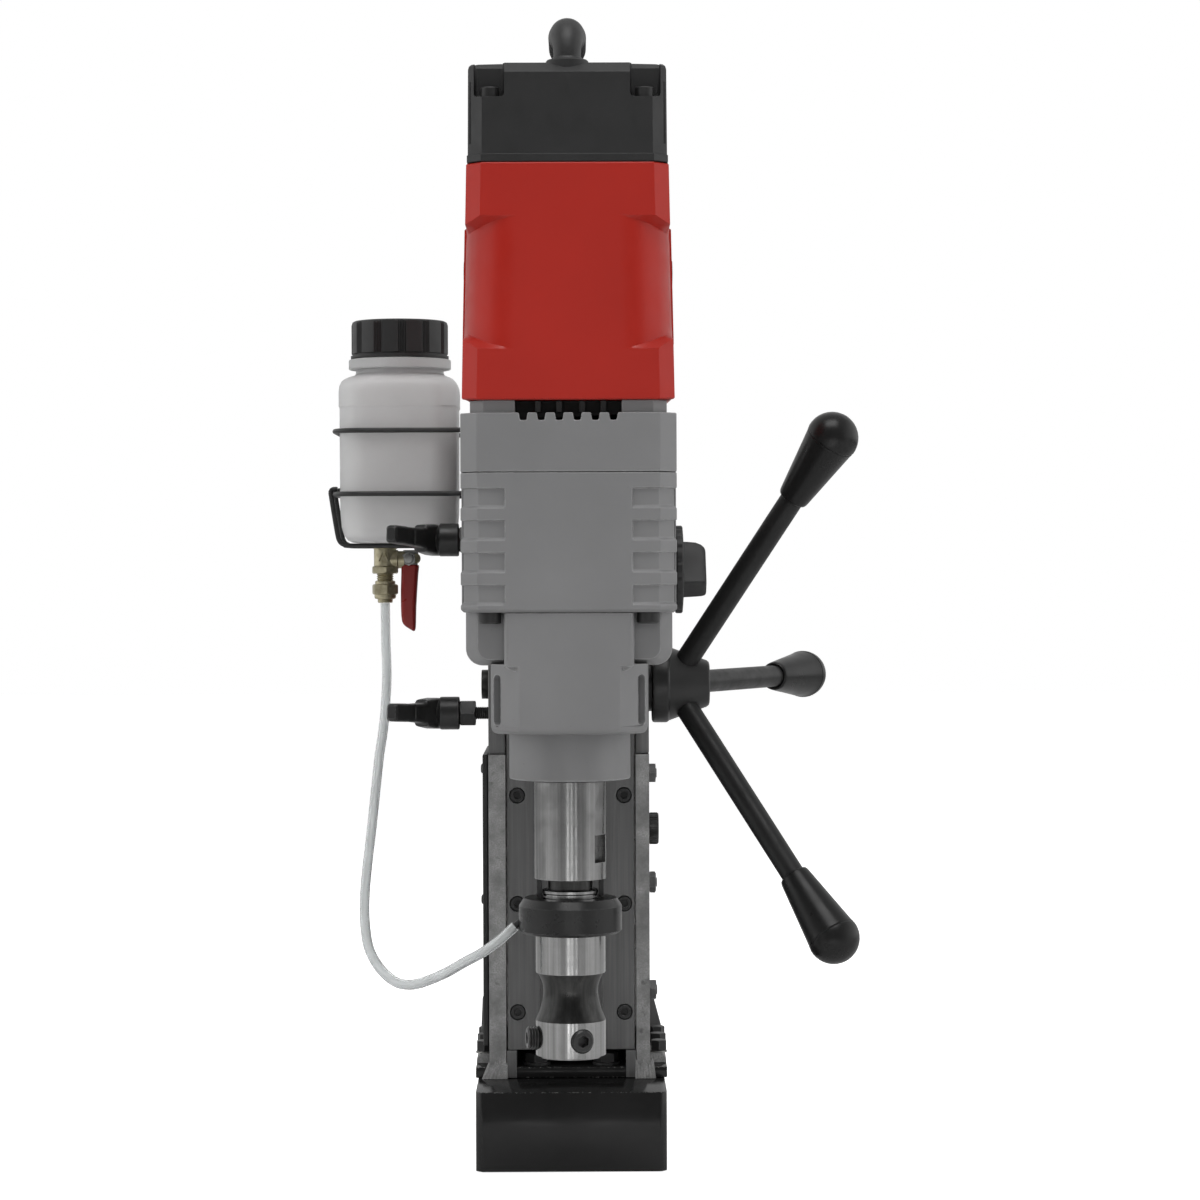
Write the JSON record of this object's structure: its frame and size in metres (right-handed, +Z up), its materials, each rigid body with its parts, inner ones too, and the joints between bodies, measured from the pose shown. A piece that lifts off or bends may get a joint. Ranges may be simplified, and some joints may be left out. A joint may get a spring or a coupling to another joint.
{
  "type": "magnetic drill press",
  "caption": "Magnetic-base drill press: magnet foot, welded stand, rack-fed slide, geared motor head, spoked feed capstan, cutter arbor and gravity coolant bottle.",
  "frame": {"origin": "centre of the magnet's bottom face", "axes": "+Z up along the spindle, -Y towards the operator, +X towards the feed capstan"},
  "size_m": [0.3121, 0.3769, 0.6474],
  "materials": {
    "black_paint": "glossy paint with worn edges",
    "black_plastic": "moulded, fine grain",
    "red_plastic": "moulded, satin",
    "black_oxide": "black oxide",
    "dark_steel": "dark, oiled",
    "rough_steel": "rough ground plate",
    "bright_steel": "ground",
    "grey_casting": "painted die casting",
    "laminations": "varnished laminations and copper",
    "winding": "potted copper winding",
    "brass": "dull turned brass",
    "bronze": "oiled bronze",
    "milky_plastic": "translucent, blow moulded",
    "clear_vinyl": "clear soft tube",
    "green_board": "lacquered board"
  },
  "bodies": {
    "stand": {"magnet_yoke": "black_paint", "magnet_coil": "winding", "base_plate": "black_paint", "frame_left_wall": "rough_steel", "frame_right_wall": "rough_steel", "frame_back_wall": "rough_steel", "side_cover": "black_plastic", "gib_strip": "bronze", "head_block": "dark_steel", "shaft_bush_left": "bronze", "shaft_bush_right": "bronze", "control_box": "black_plastic", "circuit_board": "green_board", "cable_gland": "black_plastic"},
    "carriage": {"slide_plate": "dark_steel", "slide_rail_left": "bright_steel", "slide_rail_right": "bright_steel", "feed_rack": "bright_steel", "saddle": "dark_steel", "gearbox_body": "grey_casting", "gearbox_cover": "grey_casting", "spindle_nose": "grey_casting", "vent_ring": "grey_casting", "motor_housing": "red_plastic", "motor_stator": "laminations", "brush_holder_left": "brass", "brush_holder_right": "brass", "top_cover": "black_plastic", "carry_handle": "black_plastic", "spindle_bearing_lower": "bright_steel", "spindle_bearing_upper": "bright_steel", "motor_bearing_lower": "bright_steel", "motor_bearing_upper": "bright_steel", "coolant_ring": "black_plastic", "bottle": "milky_plastic", "wire_basket": "black_paint", "basket_bracket": "black_paint", "valve_body": "brass", "coolant_hose": "clear_vinyl"},
    "capstan": {"feed_shaft": "bright_steel", "capstan_hub": "black_paint", "capstan_spoke_1": "dark_steel", "capstan_spoke_2": "dark_steel", "capstan_spoke_3": "dark_steel", "capstan_knob_1": "black_plastic", "capstan_knob_2": "black_plastic", "capstan_knob_3": "black_plastic"},
    "lower_clamp": {"clamp_lever_lower": "black_paint"},
    "upper_clamp": {"clamp_lever_upper": "black_paint"},
    "magnet_button": {"magnet_switch": "red_plastic"},
    "drill_button": {"drill_switch": "black_plastic"},
    "drill_spindle": {"spindle": "bright_steel", "arbor": "bright_steel", "set_screw_front": "black_oxide", "set_screw_left": "black_oxide"},
    "lay_gear": {"lay_shaft": "bright_steel"},
    "rotor": {"armature": "laminations"},
    "speed_selector": {"speed_knob": "black_plastic"},
    "coolant_tap": {"valve_lever": "red_plastic"},
    "filler_cap": {"bottle_cap": "black_plastic"}
  },
  "joints": [
    {"name": "carriage_feed", "type": "slide", "parent": "stand", "child": "carriage", "axis": [0, 0, 1], "range_m": [0, 0.15]},
    {"name": "feed_turn", "type": "hinge", "parent": "stand", "child": "capstan", "pos_m": [0, -0.0228, 0.2774], "axis": [1, 0, 0], "range_deg": [-614, 0]},
    {"name": "clamp_lower_turn", "type": "hinge", "parent": "stand", "child": "lower_clamp", "pos_m": [-0.0715, -0.0419, 0.261], "axis": [1, 0, 0], "range_deg": [-45, 60]},
    {"name": "clamp_upper_turn", "type": "hinge", "parent": "stand", "child": "upper_clamp", "pos_m": [-0.0715, -0.0419, 0.364], "axis": [1, 0, 0], "range_deg": [-45, 60]},
    {"name": "magnet_switch_press", "type": "slide", "parent": "stand", "child": "magnet_button", "axis": [0, -1, 0], "range_m": [0, 0.003], "stiffness_N_per_m": 400},
    {"name": "drill_switch_press", "type": "slide", "parent": "stand", "child": "drill_button", "axis": [0, -1, 0], "range_m": [0, 0.003], "stiffness_N_per_m": 400},
    {"name": "spindle_spin", "type": "hinge", "parent": "carriage", "child": "drill_spindle", "pos_m": [0, -0.16, 0.174], "axis": [0, 0, 1], "continuous": true},
    {"name": "lay_spin", "type": "hinge", "parent": "carriage", "child": "lay_gear", "pos_m": [0, -0.1325, 0.36], "axis": [0, 0, 1], "continuous": true},
    {"name": "armature_spin", "type": "hinge", "parent": "carriage", "child": "rotor", "pos_m": [0, -0.16, 0.5], "axis": [0, 0, 1], "continuous": true},
    {"name": "speed_select", "type": "hinge", "parent": "carriage", "child": "speed_selector", "pos_m": [0.0587, -0.16, 0.346], "axis": [1, 0, 0], "range_deg": [0, 180]},
    {"name": "valve_turn", "type": "hinge", "parent": "carriage", "child": "coolant_tap", "pos_m": [-0.0988, 0.012, 0.3525], "axis": [1, 0, 0], "range_deg": [0, 90]},
    {"name": "cap_turn", "type": "hinge", "parent": "carriage", "child": "filler_cap", "pos_m": [-0.1035, 0.012, 0.4748], "axis": [0, 0, 1], "range_deg": [0, 360]}
  ],
  "couplings": [
    {"joint": "feed_turn", "follows": "carriage_feed", "rad_per_m": -71.429},
    {"joint": "lay_spin", "follows": "spindle_spin", "ratio": -2.1429},
    {"joint": "armature_spin", "follows": "spindle_spin", "ratio": 5.7143}
  ]
}
